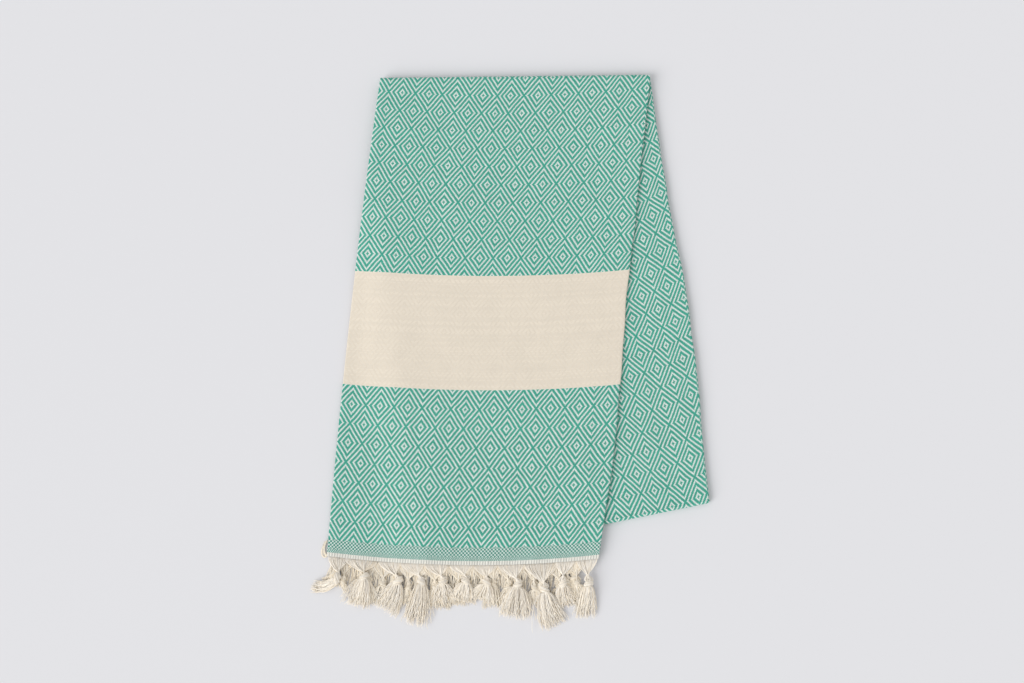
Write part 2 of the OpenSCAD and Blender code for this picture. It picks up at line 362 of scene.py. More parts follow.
def front_grid(ply, y_from, y_to, step_x, step_y):
    """Grid of one ply of the front leaf between two woven rows, y_from the higher."""
    x, h, s = section(ply, step_x)
    u = x / STRIP_W
    v_from = row_at(u, y_from) if y_from < FRONT_LEN else np.full(len(u), HINGE_GAP / FRONT_LEN)
    v_to = row_at(u, y_to)
    n = max(2, int(round((y_from - y_to) / step_y)))
    t = np.linspace(0, 1, n + 1)[:, None]
    v = mix(v_from[None, :], v_to[None, :], t)
    uu = np.broadcast_to(u[None, :], v.shape)
    px, py = front_xy(uu, v)
    pz = lift(px, py) + ripple(px, py, v) + h[None, :]
    uv = np.stack([front_cloth_x(s[None, :], v), front_cloth_y(uu, v)], 2)
    return np.stack([px, py, pz], 2), uv


# ---- flat leaves and the two folds ----------------------------------------------------
MIDDLE_CENTRE = (173.2 * MM, 228.4 * MM)  # a diamond's centre on the middle leaf
MIDDLE_ROW = ROW_PHASE + 14 * REPEAT_H - 1.8 * MM  # the woven row through that point
MIDDLE_LEAN = 0.19  # the warp's sideways run for each step down
MIDDLE_RISE = 0.512  # the weft's fall-off to the left, at that point
MIDDLE_BOW = 1.68  # how fast the weft levels out further left
MIDDLE_LEVEL = -100 * MM  # the weft runs straight beyond this
MIDDLE_PULL = 1.07  # rows lie this much closer than on the flat cloth
MIDDLE_EASE = 0.078  # and less so lower down


def middle_uv(px, py):
    """Cloth coordinates of the middle leaf: its weave is pulled askew near the outer edge."""
    down = MIDDLE_CENTRE[1] - py
    across = px - MIDDLE_CENTRE[0] - MIDDLE_LEAN * down
    bowed = np.maximum(across, MIDDLE_LEVEL)
    bow = MIDDLE_BOW * bowed * (2 * across - bowed)
    return across, down * (MIDDLE_PULL - MIDDLE_EASE * down) + across * MIDDLE_RISE + bow


def flat_grid(ply, base, flipped, v_from, v_to, inset, step):
    """Grid of one ply of a leaf that lies flat; flipped has the outer ply below."""
    x, h, s = section(ply, step)
    if flipped:
        h = LEAF - h
    # the third leaf lies a little inside the middle one
    u = mix(inset, 1 - inset, x / STRIP_W)
    n = max(2, int(round(abs(v_to - v_from) * MIDDLE_LEN / step)))
    v = np.linspace(v_from, v_to, n + 1)[:, None]
    uu = np.broadcast_to(u[None, :], (n + 1, len(u)))
    vv = np.broadcast_to(v, uu.shape)
    px, py = middle_xy(uu, vv)
    pz = np.broadcast_to((base + h)[None, :], px.shape)
    # round the right side fold the cloth goes on where the plan turns back
    beyond = np.where(x < TIGHT_IN + 1e-9, 0.0, s - x)
    if ply != "outer":
        beyond = np.zeros(len(x))
    cx, cy = middle_uv(px + beyond[None, :], py)
    cy = cy + MIDDLE_ROW
    if base == THIRD_Z:
        cy = CLOTH_LEN - (vv - v_from) * MIDDLE_LEN
    return np.stack([px, py, pz], 2), np.stack([cx, cy], 2)


def fold_grid(ply, a, b, axis_z, bulge, flipped, uv_of, step):
    """One ply turning through half a circle round the fold line from a to b."""
    x, h, s = section(ply, step)
    if flipped:
        h = LEAF - h
    radius = h + (TOP_FOLD_Z - MIDDLE_Z - LEAF)
    along = (b - a) / np.linalg.norm(b - a)
    out = np.array([-along[1], along[0]]) * bulge
    u = x / STRIP_W
    bx, by = between(a, b, u)
    turn = np.linspace(0, math.pi, 13)[:, None]
    px = bx[None, :] + out[0] * radius[None, :] * np.sin(turn)
    py = by[None, :] + out[1] * radius[None, :] * np.sin(turn)
    pz = axis_z + radius[None, :] * np.cos(turn)
    cx, cy = uv_of(u, s)
    uv = np.stack([np.broadcast_to(cx[None, :], px.shape), cy[None, :] + radius[None, :] * turn], 2)
    return np.stack([px, py, pz], 2), uv


def top_uv(u, s):
    """Cloth coordinates along the top fold."""
    zero = np.zeros(len(u))
    return front_cloth_x(s, zero), front_cloth_y(u, zero)


def low_uv(u, s):
    """Cloth coordinates along the lower fold, which needs no place across the cloth."""
    bx, by = between(low_a, low_b, u)
    cx, cy = middle_uv(bx, by)
    return cx, MIDDLE_ROW + cy


# ---- threads ------------------------------------------------------------------------
def tubes(paths, radii, reference, sides=5):
    """Closed tubes along paths (strands, points, 3); radii has shape (strands, points)."""
    strands, count = paths.shape[:2]
    tangent = np.gradient(paths, axis=1)
    tangent = tangent / np.linalg.norm(tangent, axis=2, keepdims=True)
    side = np.cross(tangent, np.asarray(reference, float))
    side = side / np.linalg.norm(side, axis=2, keepdims=True)
    other = np.cross(side, tangent)
    angle = np.arange(sides) * 2 * math.pi / sides
    ring = side[:, :, None, :] * np.cos(angle)[None, None, :, None]
    ring = ring + other[:, :, None, :] * np.sin(angle)[None, None, :, None]
    verts = paths[:, :, None, :] + ring * radii[:, :, None, None]
    index = np.arange(strands * count * sides).reshape(strands, count, sides)
    a = index[:, :-1]
    b = index[:, 1:]
    faces = np.stack([a, np.roll(a, -1, 2), np.roll(b, -1, 2), b], 3).reshape(-1, 4)
    # the ends close to a point on the path
    tips = np.concatenate([paths[:, 0], paths[:, -1]])
    tip_index = strands * count * sides + np.arange(2 * strands)
    first = index[:, 0]
    last = index[:, -1]
    start_tip = np.repeat(tip_index[:strands, None], sides, 1)
    end_tip = np.repeat(tip_index[strands:, None], sides, 1)
    caps = np.stack([np.roll(first, -1, 1), first, start_tip], 2)
    caps_end = np.stack([last, np.roll(last, -1, 1), end_tip], 2)
    # U numbers the threads and V runs along each
    run = np.linalg.norm(np.diff(paths, axis=1), axis=2).cumsum(1)
    run = np.concatenate([np.zeros((strands, 1)), run], 1)
    number = np.broadcast_to(np.arange(strands)[:, None, None] + 0.5, (strands, count, sides))
    length = np.broadcast_to(run[:, :, None], (strands, count, sides))
    uv = np.stack([number, length], 3).reshape(-1, 2)
    tip_number = np.tile(np.arange(strands) + 0.5, 2)
    tip_length = np.concatenate([run[:, 0], run[:, -1]])
    tip_uv = np.stack([tip_number, tip_length], 1)
    all_verts = np.concatenate([verts.reshape(-1, 3), tips])
    all_uv = np.concatenate([uv, tip_uv])
    triangles = np.concatenate([caps.reshape(-1, 3), caps_end.reshape(-1, 3)])
    return all_verts, faces, triangles, all_uv


class Threads:
    """Collects tubes into one mesh."""

    def __init__(self):
        self.verts = []
        self.faces = []
        self.uv = []
        self.base = 0
        self.number = 0

    def add(self, paths, radii, reference=(0, 0, 1), sides=5):
        verts, quads, triangles, uv = tubes(paths, radii, reference, sides)
        uv = uv + np.array([self.number, 0.0])
        self.verts.append(verts)
        self.faces.extend((quads + self.base).tolist())
        self.faces.extend((triangles + self.base).tolist())
        self.uv.append(uv)
        self.base += len(verts)
        self.number += len(paths)

    def build(self, name):
        return new_object(name, np.concatenate(self.verts), self.faces, np.concatenate(self.uv))


def hermite(p0, t0, p1, t1, count):
    """Curves from points p0 to p1 with the tangents t0 and t1, count points each."""
    t = np.linspace(0, 1, count)[None, :, None]
    a = 2 * t**3 - 3 * t**2 + 1
    b = t**3 - 2 * t**2 + t
    c = -2 * t**3 + 3 * t**2
    d = t**3 - t**2
    return a * p0[:, None, :] + b * t0[:, None, :] + c * p1[:, None, :] + d * t1[:, None, :]


ALONG = 13  # points along a thread, above and below the knot
WRAP_STEPS = 22  # points along one turn of the knot
LOCKS = 9  # bunches in a loose end
LOCK_PULL = 0.15  # how far threads are drawn to the middle of their bunch
LOOSE_THREAD = 0.8  # thickness of a loose thread against the whole yarn
IN_LINE = 0.93  # share of the loose threads that do not stick out


def tassel(
    threads, rng, roots, leave, knot, tip, thread_r, knot_r, knot_len, skirt_w, skirt_h,
    split, sides=5,
):
    """Threads from roots (n, 3) gather to a knot and fan out again to the tip.

    leave is the direction in which they leave the cloth; skirt_w and skirt_h are the
    loose end's half width and half height; split is how many loose threads come out of
    the knot for each one that goes in, as the yarn opens up.
    """
    n = len(roots)
    leave = np.asarray(leave, float)
    aim = (tip - knot) / np.linalg.norm(tip - knot)
    turn = aim + leave * 0.8
    turn[2] = 0.0
    turn = turn / np.linalg.norm(turn)
    side = np.cross(turn, [0, 0, 1])
    up = np.array([0.0, 0.0, 1.0])
    order = np.linspace(-1, 1, n)
    spin = rng.uniform(0, 2 * math.pi, n)
    spot = np.sin(spin) * np.sqrt(np.clip(1 - order**2, 0.05, 1))
    neck = knot - turn * knot_len * 0.4
    neck_points = neck + knot_r * (order[:, None] * 0.7 * side + spot[:, None] * 0.55 * up)
    reach = np.linalg.norm(neck_points - roots, axis=1, keepdims=True)
    # a thread falls straight from the hem, then swings round into the knot
    start_pull = leave * reach * rng.uniform(1.0, 1.35, (n, 1))
    sweep = rng.uniform(0.55, 1.0, (n, 1))
    inward = side * (-order[:, None]) * reach * sweep * np.abs(order[:, None])
    end_pull = turn * reach * rng.uniform(0.15, 0.45, (n, 1)) + inward
    fan = hermite(roots, start_pull, neck_points, end_pull, ALONG)
    arch = np.sin(np.linspace(0, math.pi, ALONG))[None, :]
    hump = arch * rng.uniform(-0.2, 1.0, (n, 1)) * 0.6 * MM
    fan[:, :, 2] += hump
    inner = knot + turn * knot_len * 0.1 + (neck_points - neck) * 0.5
    fan = np.concatenate([fan, inner[:, None, :]], 1)
    radii = np.full(fan.shape[:2], thread_r)
    threads.add(fan, radii, sides=sides)
    # the loose end sweeps from the knot's own direction round to the tip
    m = n * split
    lay = np.linspace(-1, 1, m)
    out = knot + turn * knot_len * 0.2
    span = np.linalg.norm(tip - out)
    corner = out + turn * span * 0.5
    length = rng.uniform(0.70, 1.10, m)
    t = np.linspace(0, 1, ALONG)[None, :] * length[:, None]
    tt = t[:, :, None]
    centre = (1 - tt) ** 2 * out + 2 * tt * (1 - tt) * corner + tt**2 * tip
    tangent = 2 * (1 - tt) * (corner - out) + 2 * tt * (tip - corner)
    tangent[:, :, 2] = 0.0
    tangent = tangent / np.linalg.norm(tangent, axis=2, keepdims=True)
    beside = np.cross(tangent, [0.0, 0.0, 1.0])
    phase = rng.uniform(0, 2 * math.pi, m)
    depth = np.sin(phase) * np.sqrt(np.clip(1 - lay**2, 0.08, 1))
    # neighbours hang together a little, and a few threads stick out
    lock = np.floor((lay + 1) / 2 * LOCKS * 0.999)
    lock_centre = (lock + 0.5) / LOCKS * 2 - 1
    spread = mix(lay, lock_centre, LOCK_PULL) * 0.88 + rng.normal(0, 0.17, m)
    lock_lean = rng.normal(0, 0.05, LOCKS)[lock.astype(int)]
    outlier = rng.uniform(0, 1, m) > IN_LINE
    spread = spread + np.where(outlier, rng.normal(0, 0.45, m), 0.0)
    bloom = np.clip(t, 0, 1.1) ** 0.55
    lateral = mix(lay[:, None] * knot_r * 0.85, (spread + lock_lean)[:, None] * skirt_w, bloom)
    wave = rng.uniform(6, 16, m)[:, None] * MM
    swing = rng.uniform(0.3, 1.5, m)[:, None] * MM
    crimp = swing * np.sin(2 * math.pi * t * span / wave + phase[:, None]) * np.clip(t, 0, 1)
    lateral = lateral + crimp
    skirt = centre + beside * lateral[:, :, None]
    high = out[2] + depth[:, None] * knot_r * 0.7
    low = tip[2] + depth[:, None] * skirt_h
    height = mix(high, low, ease(t * 1.2))
    fine = thread_r * LOOSE_THREAD
    skirt[:, :, 2] = np.maximum(height + crimp * 0.4, fine + 0.15 * MM)
    radii = np.full(skirt.shape[:2], fine)
    radii[:, -1] *= 0.5
    threads.add(skirt, radii, sides=sides)
    # the knot: the bundle wound round itself, askew and loose
    wraps = max(5, int(round(knot_len / (1.6 * thread_r))))
    a = np.linspace(-0.25 * math.pi, 2.1 * math.pi, WRAP_STEPS)[None, :]
    place = np.linspace(-1, 1, wraps)[:, None]
    along = place * knot_len * 0.5 + rng.normal(0, 0.2, (wraps, 1)) * MM
    slant = rng.uniform(0.25, 0.55) * rng.choice([-1, 1])
    tilt = slant * np.cos(a) * knot_r
    r = knot_r * (1 - 0.38 * place**2) + rng.uniform(-0.3, 0.3, (wraps, 1)) * MM
    wrap = (
        knot[None, None, :]
        + turn * (along + tilt)[:, :, None]
        + side * (r * np.cos(a))[:, :, None]
        + up * (r * np.sin(a) * 0.8)[:, :, None]
    )
    wrap[:, :, 2] = np.maximum(wrap[:, :, 2], thread_r + 0.15 * MM)
    threads.add(wrap, np.full(wrap.shape[:2], thread_r * 1.1), reference=turn)
    # a core closes the middle of the knot
    core_t = np.linspace(-0.5, 0.5, 7)
    core = knot[None, None, :] + turn * (core_t * knot_len)[None, :, None]
    core_r = knot_r * np.array([0.3, 0.5, 0.7, 0.74, 0.7, 0.5, 0.3])[None, :]
    threads.add(core, core_r, sides=10)


def root_places(count, spread, rng):
    """Nearly even places from -spread to spread, where warp threads leave the hem."""
    pair = np.arange(count) // 2
    pairs = pair[-1] + 1
    centre = (pair + 0.5) / pairs * 2 - 1
    pitch = 2 * spread / pairs
    odd = np.arange(count) % 2 - 0.5
    return centre * spread + odd * pitch * 0.5 + rng.uniform(-0.07, 0.07, count) * pitch


# Top row: place along the hem, half spread of the roots, knot shift and reach, tip
# shift and reach, half width of the loose end, number of warp threads. Millimetres.
TOP_TASSELS = [
    (0.040, 14, 0, 24, -27, 33, 6, 22),
    (0.130, 20, 3, 20, -4, 52, 15, 31),
    (0.235, 14, 9, 22, -5, 55, 15, 25),
    (0.318, 15, 10, 21, 2, 67, 15, 27),
    (0.407, 15, 7, 20, 9, 44, 18, 25),
    (0.496, 14, 5, 18, 1, 41, 16, 24),
    (0.588, 15, 0, 20, -6, 40, 17, 25),
    (0.680, 16, 7, 23, 3, 59, 21, 28),
    (0.789, 20, 4, 31, 14, 70, 17, 32),
    (0.877, 12, -3, 25, 4, 50, 13, 23),
    (0.958, 13, 1, 28, -2, 64, 12, 24),
]
HEM_LEAVE = (-math.sin(math.radians(FRONT_TURN)), -math.cos(math.radians(FRONT_TURN)), 0.0)
KNOT_Z = 6.4 * MM
TIP_Z = 2.9 * MM
LOW_KNOT_Z = 3.2 * MM
LOW_TIP_Z = 1.9 * MM
FAR_KNOT_Z = 1.9 * MM
FAR_TIP_Z = 1.5 * MM
TOP_R = 0.42 * MM  # radius of a thread in the top row
LOW_R = 0.44 * MM  # and in the rows under it
LOW_TASSELS = 11  # in each lower row
LOW_STRANDS = 28
LOW_SPREAD = 14.0  # half spread of the roots, millimetres
FAR_TASSELS = 33
FAR_STRANDS = 10


def hem_point(u, height):
    """Point of the hem at share u, at a height over the front leaf's underside."""
    x, y = front_xy(u, np.ones_like(u))
    z = lift(x, y) + ripple(x, y, np.ones_like(u)) + height
    return np.stack([x, y, z], -1)


def top_tassel(number, spec):
    share, spread, knot_dx, knot_dy, tip_dx, tip_dy, skirt, count = spec
    rng = np.random.default_rng(SEED + number)
    threads = Threads()
    u = share + root_places(count, spread, rng) * MM / HEM_W
    u = np.clip(u, 0.006, 0.994)
    roots = hem_point(u, OUTER_H + 0.06 * MM)
    roots[:, 1] += rng.uniform(0.3, 0.8, count) * MM
    base = hem_point(np.array([share]), 0.0)[0]
    knot = np.array([base[0] + knot_dx * MM, base[1] - knot_dy * MM, KNOT_Z])
    tip = np.array([base[0] + tip_dx * MM, base[1] - tip_dy * MM, TIP_Z])
    tassel(
        threads, rng, roots, HEM_LEAVE, knot, tip, TOP_R, knot_r=5.2 * MM,
        knot_len=8.5 * MM, skirt_w=skirt * MM, skirt_h=1.9 * MM, split=6,
    )
    return threads.build("tassel_%02d_threads" % number)


def stray(threads, rng):
    """One tassel of the under ply lies back along the leaf's left edge."""
    count = 12
    corner = hem_point(np.zeros(1), 0.0)[0]
    order = np.linspace(-1, 1, count)[:, None]
    shift = rng.uniform(-1, 1, (count, 3)) * np.array([1.0, 3.5, 0.5]) * MM
    start = corner + np.array([1.5, 1.0, 0.9]) * MM + order * np.array([1.5, 1.5, 0.3]) * MM
    end = corner + np.array([-2.0, 16.0, 1.2]) * MM + order * np.array([2.6, 4.0, 0.3]) * MM
    pull = np.tile(np.array([-22.0, -10.0, 0.0]) * MM, (count, 1)) + shift * 3
    arrive = np.tile(np.array([14.0, 16.0, 0.0]) * MM, (count, 1)) + shift * 3
    paths = hermite(start, pull, end + shift, arrive, 16)
    paths[:, :, 2] = np.maximum(paths[:, :, 2], 0.6 * MM)
    threads.add(paths, np.full(paths.shape[:2], 0.34 * MM))


def loose_ends(threads, rng, level, count):
    """Warp threads that stay out of the knots and lie straight under them."""
    u = np.linspace(0.015, 0.93, count) + rng.uniform(-0.002, 0.002, count)
    start = hem_point(u, level)
    reach = rng.uniform(18, 34, count) * MM
    reach = reach * np.where(u > 0.9, 0.55, 1.0)
    end = start + np.asarray(HEM_LEAVE)[None, :] * reach[:, None]
    end[:, 0] += rng.normal(0, 3.4, count) * MM
    end[:, 2] = rng.uniform(0.7, 2.4, count) * MM
    pull = np.asarray(HEM_LEAVE)[None, :] * reach[:, None] * 0.9
    bend = rng.normal(0, 3.5, (count, 3)) * MM
    bend[:, 2] = 0.0
    paths = hermite(start, pull, end, pull + bend, 10)
    threads.add(paths, np.full(paths.shape[:2], 0.42 * MM))


def low_row(name, level, shift, loose, stray_left=False):
    """Fringe of one of the lower plies: a row of tassels and loose warp threads."""
    rng = np.random.default_rng(SEED + 100 + int(level * 1000))
    threads = Threads()
    loose_ends(threads, rng, level, loose)
    for i in range(LOW_TASSELS):
        share = min((i + shift) / LOW_TASSELS, 0.915)
        u = share + root_places(LOW_STRANDS, LOW_SPREAD, rng) * MM / HEM_W
        u = np.clip(u, 0.02, 0.985)
        roots = hem_point(u, level)
        base = hem_point(np.array([share]), 0.0)[0]
        lean = rng.uniform(-6, 6)
        # the first one stays short, so that it is hidden by the top row
        reach = rng.uniform(38, 50) if i > 0 else 30.0
        knot_y = base[1] - rng.uniform(19, 28) * MM
        knot = np.array([base[0] + lean * 0.4 * MM, knot_y, LOW_KNOT_Z])
        tip = np.array([base[0] + lean * MM, base[1] - reach * MM, LOW_TIP_Z])
        tassel(
            threads, rng, roots, HEM_LEAVE, knot, tip, LOW_R, knot_r=4.0 * MM,
            knot_len=6.5 * MM, skirt_w=13 * MM, skirt_h=1.4 * MM, split=3, sides=4,
        )
    if stray_left:
        stray(threads, rng)
    return threads.build(name)


def far_fringe():
    """The towel's other end: small tassels under the middle leaf, below the top fold."""
    rng = np.random.default_rng(SEED + 300)
    threads = Threads()
    v_end = 1 - THIRD_LEN / MIDDLE_LEN
    for i in range(FAR_TASSELS):
        share = mix(0.03, 0.97, (i + 0.5) / FAR_TASSELS)
        u = share + np.linspace(-1, 1, FAR_STRANDS) * 3.6 * MM / STRIP_W
        x, y = middle_xy(u, np.full(FAR_STRANDS, v_end))
        z = (THIRD_Z + OUTER_H, THIRD_Z + INNER_H, THIRD_Z + UNDER_H)[i % 3]
        roots = np.stack([x, y, np.full(FAR_STRANDS, z)], 1)
        bx, by = middle_xy(np.array([share]), np.array([v_end]))
        reach = rng.uniform(56, 64)
        knot = np.array([bx[0], by[0] + 0.4 * reach * MM, FAR_KNOT_Z])
        tip = np.array([bx[0] + rng.uniform(-3, 3) * MM, by[0] + reach * MM, FAR_TIP_Z])
        tassel(
            threads, rng, roots[::-1], (0.0, 1.0, 0.0), knot, tip, LOW_R, knot_r=1.5 * MM,
            knot_len=5 * MM, skirt_w=4 * MM, skirt_h=0.9 * MM, split=2, sides=4,
        )
    return threads.build("far_fringe_threads")


# ---- materials ----------------------------------------------------------------------
SHEEN_ROUGHNESS = 0.5
SPECULAR = 0.25
DRIFT_SCALE = 34.0  # noise cells to a metre: a wander over centimetres
JITTER_SCALE = 420.0  # and over millimetres
CLOUD_SCALE = 55.0
FUZZ_SCALE = 2400.0
FIBRE_SCALE = 300.0
TWIST = 1.6 * MM  # length of one turn of the yarn
PAIR = 2.8  # threads to a bundle of the bare warp


class Graph:
    """Small helper that writes shader maths as calls."""

    def __init__(self, name):
        self.material = bpy.data.materials.new(name)
        self.material.use_nodes = True
        self.tree = self.material.node_tree
        self.tree.nodes.clear()

    def node(self, kind, **settings):
        made = self.tree.nodes.new(kind)
        for key, value in settings.items():
            setattr(made, key, value)
        return made

    def put(self, socket, value):
        """Links an output to the socket, or sets the socket to a constant."""
        if hasattr(value, "links"):
            self.tree.links.new(value, socket)
        else:
            socket.default_value = value

    def math(self, operation, a, b=0.0, c=0.0):
        made = self.node("ShaderNodeMath", operation=operation)
        self.put(made.inputs[0], a)
        self.put(made.inputs[1], b)
        self.put(made.inputs[2], c)
        return made.outputs[0]

    def colour_mix(self, factor, a, b, blend="MIX"):
        made = self.node("ShaderNodeMix", data_type="RGBA", blend_type=blend)
        self.put(made.inputs[0], factor)
        self.put(made.inputs[6], a if hasattr(a, "links") else (*a, 1.0))
        self.put(made.inputs[7], b if hasattr(b, "links") else (*b, 1.0))
        return made.outputs[2]

    def fraction(self, value):
        return self.math("FRACT", value)

    def switch(self, factor, a, b):
        """a where factor is 0 and b where it is 1."""
        made = self.node("ShaderNodeMix", data_type="FLOAT")
        self.put(made.inputs[0], factor)
        self.put(made.inputs[2], a)
        self.put(made.inputs[3], b)
        return made.outputs[0]

    def around(self, value, span, middle=0.0):
        """Brings a value from 0 to 1 to a span round the middle."""
        return self.math("MULTIPLY_ADD", value, span, middle - span / 2)

    def toned(self, colour, level):
        """The colour, scaled by a value."""
        grey = self.node("ShaderNodeCombineColor")
        for k in range(3):
            self.tree.links.new(level, grey.inputs[k])
        return self.colour_mix(1.0, colour, grey.outputs[0], "MULTIPLY")

    def uv(self):
        """U, V and both as one vector."""
        made = self.node("ShaderNodeUVMap", uv_map="UVMap")
        split = self.node("ShaderNodeSeparateXYZ")
        self.tree.links.new(made.outputs[0], split.inputs[0])
        return split.outputs[0], split.outputs[1], made.outputs[0]

    def noise(self, vector, scale, detail=2.0, roughness=0.5):
        made = self.node("ShaderNodeTexNoise")
        self.tree.links.new(vector, made.inputs["Vector"])
        made.inputs["Scale"].default_value = scale
        made.inputs["Detail"].default_value = detail
        made.inputs["Roughness"].default_value = roughness
        return made.outputs[0]

    def shifted(self, vector, amount):
        made = self.node("ShaderNodeVectorMath", operation="ADD")
        self.put(made.inputs[0], vector)
        made.inputs[1].default_value = (amount, amount, amount)
        return made.outputs[0]

    def random(self, value):
        made = self.node("ShaderNodeTexWhiteNoise", noise_dimensions="1D")
        self.put(made.inputs["W"], value)
        return made.outputs["Value"]

    def finish(self, colour, roughness, height, distance, strength, sheen):
        shader = self.node("ShaderNodeBsdfPrincipled")
        self.put(shader.inputs["Base Color"], colour)
        self.put(shader.inputs["Roughness"], roughness)
        shader.inputs["Sheen Weight"].default_value = sheen
        shader.inputs["Sheen Roughness"].default_value = SHEEN_ROUGHNESS
        shader.inputs["Specular IOR Level"].default_value = SPECULAR
        bump = self.node("ShaderNodeBump")
        bump.inputs["Strength"].default_value = strength
        bump.inputs["Distance"].default_value = distance
        self.tree.links.new(height, bump.inputs["Height"])
        self.tree.links.new(bump.outputs[0], shader.inputs["Normal"])
        out = self.node("ShaderNodeOutputMaterial")
        self.tree.links.new(shader.outputs[0], out.inputs[0])
        return self.material


def thread_profile(g, fraction):
    """1 along the middle of a thread and 0 between two threads."""
    centred = g.math("MULTIPLY_ADD", fraction, 2.0, -1.0)
    return g.math("SUBTRACT", 1.0, g.math("MULTIPLY", centred, centred))


def inside(g, value, low, high):
    """1 between low and high and 0 outside."""
    above = g.math("GREATER_THAN", value, low)
    below = g.math("LESS_THAN", value, high)
    return g.math("MULTIPLY", above, below)


def weave_material(name, weft_colour, warp_colour, pattern, relief=1.0, banded=False):
    """pattern is "diamond", "plain" or "bare"; banded adds the border and natural band by place.

    relief scales how much single threads stand out, in tone (with the painted shade between them)
    and in height.
    """
    g = Graph(name)
    x, y, vector = g.uv()
    even = x
    near = y
    # woven threads wander a little, together over centimetres and singly over millimetres
    drift = g.noise(vector, DRIFT_SCALE, 1.0)
    jitter = g.noise(vector, JITTER_SCALE, 2.0)
    x = g.math("ADD", x, g.around(drift, 2.4 * MM))
    x = g.math("ADD", x, g.around(jitter, 1.1 * MM))
    skew = g.noise(g.shifted(vector, 3.7), DRIFT_SCALE, 1.0)
    uneven = g.noise(g.shifted(vector, 7.9), JITTER_SCALE, 2.0)
    y = g.math("ADD", y, g.around(skew, 2.0 * MM))
    y = g.math("ADD", y, g.around(uneven, 1.0 * MM))
    column = g.math("MULTIPLY_ADD", x, 1 / WARP_PITCH, 0.5)
    row = g.math("MULTIPLY_ADD", y, 1 / WEFT_PITCH, 0.5 - ROW_PHASE / WEFT_PITCH)
    column_n = g.math("FLOOR", column)
    row_n = g.math("FLOOR", row)
    warp_p = thread_profile(g, g.fraction(column))
    weft_p = thread_profile(g, g.fraction(row))
    # diamonds: rings of weft floats round the centre of each repeat
    half = THREADS / 2
    a = g.math("PINGPONG", column_n, half)
    b = g.math("PINGPONG", row_n, half)
    turn = 2 * RINGS * math.pi / half
    rings = g.math("COSINE", g.math("MULTIPLY", g.math("ADD", a, b), turn))
    float_up = g.math("GREATER_THAN", rings, WEFT_BIAS)
    # the border: checks of a few threads, and single threads in its last rows
    across = g.math("FLOOR", g.math("DIVIDE", even, BASKET))
    along = g.math("FLOOR", g.math("DIVIDE", near, BASKET))
    basket = g.math("MODULO", g.math("ABSOLUTE", g.math("ADD", across, along)), 2.0)
    single = g.math("MODULO", g.math("ABSOLUTE", g.math("ADD", column_n, row_n)), 2.0)
    edge_row = g.math("LESS_THAN", near, HEADING + EDGE_ROWS)
    plain_up = g.math("GREATER_THAN", g.switch(edge_row, basket, single), 0.5)
    if pattern == "diamond":
        up = float_up
    elif pattern == "plain":
        up = plain_up
    else:
        up = g.math("MULTIPLY", plain_up, 0.0)
    weft = weft_colour
    if banded:
        # both ends of the towel have the same zones
        end = g.math("MINIMUM", near, g.math("SUBTRACT", CLOTH_LEN, near))
        bare = inside(g, end, -1.0, HEADING)
        plain = inside(g, end, HEADING, HEADING + BORDER - 0.2 * MM)
        band = inside(g, end, HEADING + BORDER + FIELD, HEADING + BORDER + FIELD + BAND)
        up = g.switch(plain, up, plain_up)
        up = g.math("MULTIPLY", up, g.math("SUBTRACT", 1.0, bare))
        weft = g.colour_mix(band, weft_colour, NATURAL_WEFT)
        warp_colour = g.colour_mix(band, warp_colour, NATURAL)
    # each thread has its own tone, and painted shade darkens it toward the gaps beside it
    weft_tone = g.around(g.random(row_n), 0.14 * relief, 1.0)
    warp_tone = g.around(g.random(column_n), 0.12 * relief, 1.0)
    tone = g.switch(up, warp_tone, weft_tone)
    if banded:
        tone = g.switch(g.math("MULTIPLY", band, 0.6), tone, 1.0)
    profile = g.switch(up, warp_p, weft_p)
    rounded = g.math("POWER", g.math("ADD", profile, 0.001), 0.6)
    # painted shade: each thread darkens toward its edges, where the gaps between threads lie
    gap = 0.34 * relief
    if pattern == "bare":
        gap = BARE_GAP_SHADE
        pair = g.fraction(g.math("DIVIDE", column, PAIR))
        rounded = g.math("POWER", g.math("ADD", thread_profile(g, pair), 0.001), 0.8)
    shade = g.math("MULTIPLY_ADD", rounded, gap, 1.04 - gap)
    soft = g.noise(vector, CLOUD_SCALE, 3.0)
    cloud = g.around(soft, 0.10, 1.0)
    fuzz = g.noise(vector, FUZZ_SCALE, 2.0, 0.6)
    fibre = g.around(fuzz, 0.20 * relief, 1.0)
    level = g.math("MULTIPLY", g.math("MULTIPLY", tone, shade), g.math("MULTIPLY", cloud, fibre))
    colour = g.toned(g.colour_mix(up, warp_colour, weft), level)
    # height: round threads, floats that bulge in their middle
    swell = g.math("ABSOLUTE", rings)
    height = g.math("MULTIPLY_ADD", swell, 0.45, g.math("MULTIPLY", profile, 0.55))
    height = g.math("MULTIPLY_ADD", fuzz, 0.12, height)
    roughness = g.math("MULTIPLY_ADD", soft, 0.16, 0.78)
    return g.finish(colour, roughness, height, 0.32 * MM, 0.7 * relief, 0.12)


def cotton_material(name, colour_value):
    """Loose yarn: U numbers the threads, so each has its own tone and warmth."""
    g = Graph(name)
    x, y, vector = g.uv()
    number = g.math("FLOOR", x)
    tone = g.around(g.random(number), 0.08, 1.0)
    twist = g.math("SINE", g.math("MULTIPLY", y, 2 * math.pi / TWIST))
    along = g.noise(vector, FIBRE_SCALE, 2.0)
    level = g.math("MULTIPLY", tone, g.around(along, 0.16, 1.0))
    warmest = tuple(c * w for c, w in zip(colour_value, WARMER))
    warmth = g.random(g.math("ADD", number, 31.7))
    colour = g.toned(g.colour_mix(warmth, colour_value, warmest), level)
    roughness = g.math("MULTIPLY_ADD", along, 0.14, 0.78)
    return g.finish(colour, roughness, twist, 0.08 * MM, 0.3, 0.35)


